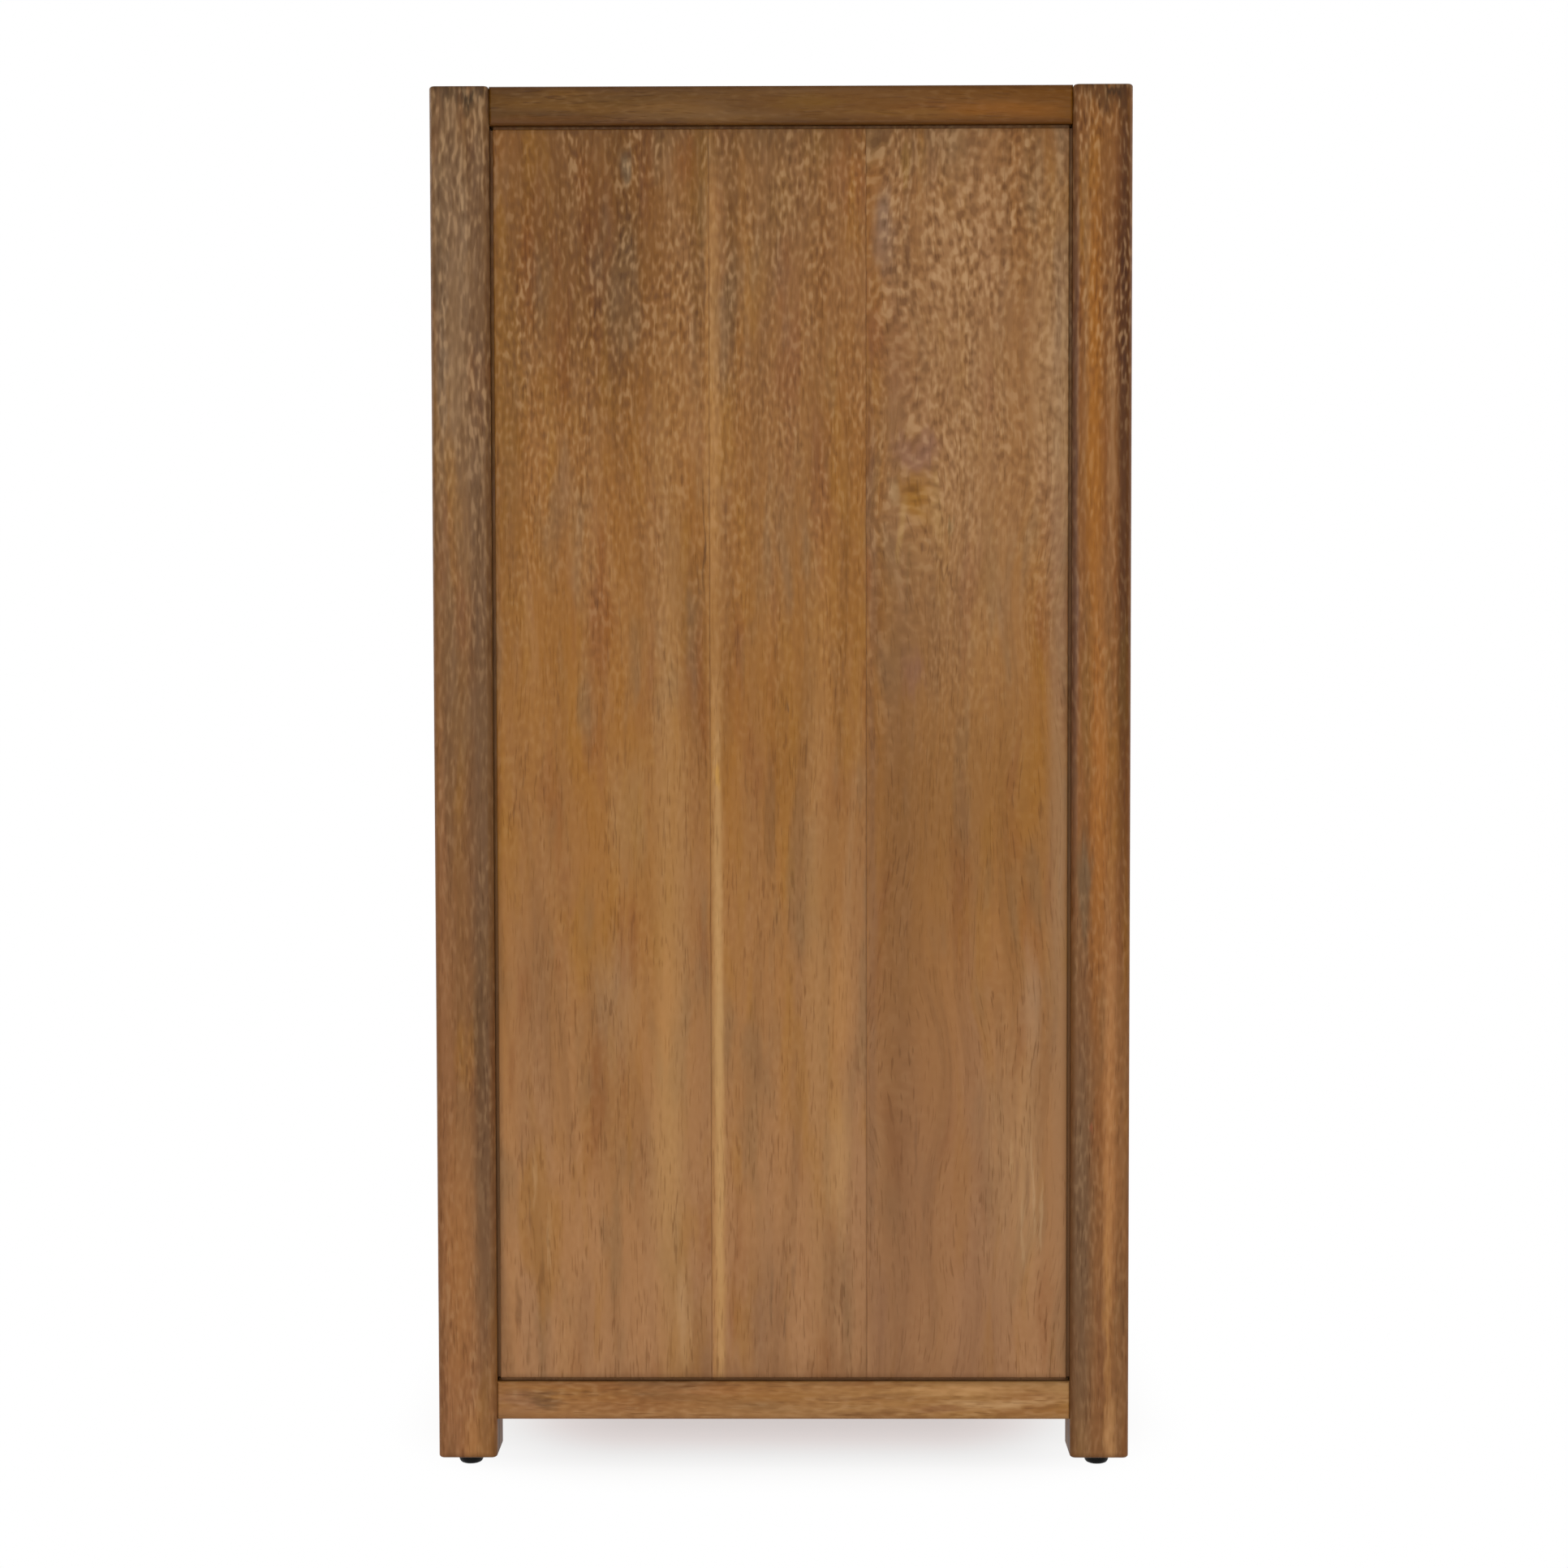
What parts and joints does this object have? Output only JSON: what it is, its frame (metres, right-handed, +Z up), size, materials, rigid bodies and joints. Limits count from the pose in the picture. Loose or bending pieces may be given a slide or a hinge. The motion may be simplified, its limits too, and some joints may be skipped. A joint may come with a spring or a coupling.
{
  "type": "dresser",
  "caption": "Frame-and-panel wooden dresser with inset drawers on steel slides, scooped finger pulls and plastic floor glides.",
  "frame": {"origin": "on the floor, under the middle of the case", "axes": "+Z up, +X towards the right end of the case seen from the front, -Y out of the drawer fronts"},
  "size_m": [0.914, 0.508, 1.01],
  "materials": {
    "leg_wood": "brown stain under satin lacquer, open grain",
    "rail_wood": "brown stain under satin lacquer",
    "panel_wood": "brown stain under satin lacquer, brushed open grain",
    "drawer_front_wood": "brown stain under satin lacquer, brushed open grain",
    "drawer_box_wood": "clear satin lacquer on pale hardwood",
    "plywood": "clear-sealed plywood",
    "slide_steel": "zinc plated",
    "screw_steel": "zinc plated",
    "glide_plastic": "black moulded plastic"
  },
  "bodies": {
    "case": {"front_left_leg": "leg_wood", "front_right_leg": "leg_wood", "back_left_leg": "leg_wood", "back_right_leg": "leg_wood", "left_top_rail": "rail_wood", "left_bottom_rail": "rail_wood", "right_top_rail": "rail_wood", "right_bottom_rail": "rail_wood", "front_top_rail": "rail_wood", "front_bottom_rail": "rail_wood", "back_top_rail": "rail_wood", "back_bottom_rail": "rail_wood", "divider_rail_1": "rail_wood", "divider_rail_2": "rail_wood", "divider_rail_3": "rail_wood", "left_side_panel": "panel_wood", "right_side_panel": "panel_wood", "top_panel": "panel_wood", "left_slide_battens": "drawer_box_wood", "right_slide_battens": "drawer_box_wood", "back_panel": "plywood", "slide_case_members": "slide_steel", "back_panel_screws": "screw_steel", "slide_case_screws": "screw_steel", "glide_nails": "screw_steel", "floor_glides": "glide_plastic"},
    "drawer_1": {"drawer_1_front": "drawer_front_wood", "drawer_1_left_side": "drawer_box_wood", "drawer_1_right_side": "drawer_box_wood", "drawer_1_back": "drawer_box_wood", "drawer_1_bottom": "plywood", "drawer_1_slide_inner": "slide_steel", "drawer_1_slide_screws": "screw_steel"},
    "drawer_1_runners": {"drawer_1_slide_middle": "slide_steel"},
    "drawer_2": {"drawer_2_front": "drawer_front_wood", "drawer_2_left_side": "drawer_box_wood", "drawer_2_right_side": "drawer_box_wood", "drawer_2_back": "drawer_box_wood", "drawer_2_bottom": "plywood", "drawer_2_slide_inner": "slide_steel", "drawer_2_slide_screws": "screw_steel"},
    "drawer_2_runners": {"drawer_2_slide_middle": "slide_steel"},
    "drawer_3": {"drawer_3_front": "drawer_front_wood", "drawer_3_left_side": "drawer_box_wood", "drawer_3_right_side": "drawer_box_wood", "drawer_3_back": "drawer_box_wood", "drawer_3_bottom": "plywood", "drawer_3_slide_inner": "slide_steel", "drawer_3_slide_screws": "screw_steel"},
    "drawer_3_runners": {"drawer_3_slide_middle": "slide_steel"},
    "drawer_4": {"drawer_4_front": "drawer_front_wood", "drawer_4_left_side": "drawer_box_wood", "drawer_4_right_side": "drawer_box_wood", "drawer_4_back": "drawer_box_wood", "drawer_4_bottom": "plywood", "drawer_4_slide_inner": "slide_steel", "drawer_4_slide_screws": "screw_steel"},
    "drawer_4_runners": {"drawer_4_slide_middle": "slide_steel"}
  },
  "joints": [
    {"name": "drawer_1_pull", "type": "slide", "parent": "case", "child": "drawer_1", "axis": [0, -1, 0], "range_m": [0, 0.4]},
    {"name": "drawer_1_runner_travel", "type": "slide", "parent": "case", "child": "drawer_1_runners", "axis": [0, -1, 0], "range_m": [0, 0.2]},
    {"name": "drawer_2_pull", "type": "slide", "parent": "case", "child": "drawer_2", "axis": [0, -1, 0], "range_m": [0, 0.4]},
    {"name": "drawer_2_runner_travel", "type": "slide", "parent": "case", "child": "drawer_2_runners", "axis": [0, -1, 0], "range_m": [0, 0.2]},
    {"name": "drawer_3_pull", "type": "slide", "parent": "case", "child": "drawer_3", "axis": [0, -1, 0], "range_m": [0, 0.4]},
    {"name": "drawer_3_runner_travel", "type": "slide", "parent": "case", "child": "drawer_3_runners", "axis": [0, -1, 0], "range_m": [0, 0.2]},
    {"name": "drawer_4_pull", "type": "slide", "parent": "case", "child": "drawer_4", "axis": [0, -1, 0], "range_m": [0, 0.4]},
    {"name": "drawer_4_runner_travel", "type": "slide", "parent": "case", "child": "drawer_4_runners", "axis": [0, -1, 0], "range_m": [0, 0.2]}
  ],
  "couplings": [
    {"joint": "drawer_1_runner_travel", "follows": "drawer_1_pull", "ratio": 0.5},
    {"joint": "drawer_2_runner_travel", "follows": "drawer_2_pull", "ratio": 0.5},
    {"joint": "drawer_3_runner_travel", "follows": "drawer_3_pull", "ratio": 0.5},
    {"joint": "drawer_4_runner_travel", "follows": "drawer_4_pull", "ratio": 0.5}
  ]
}
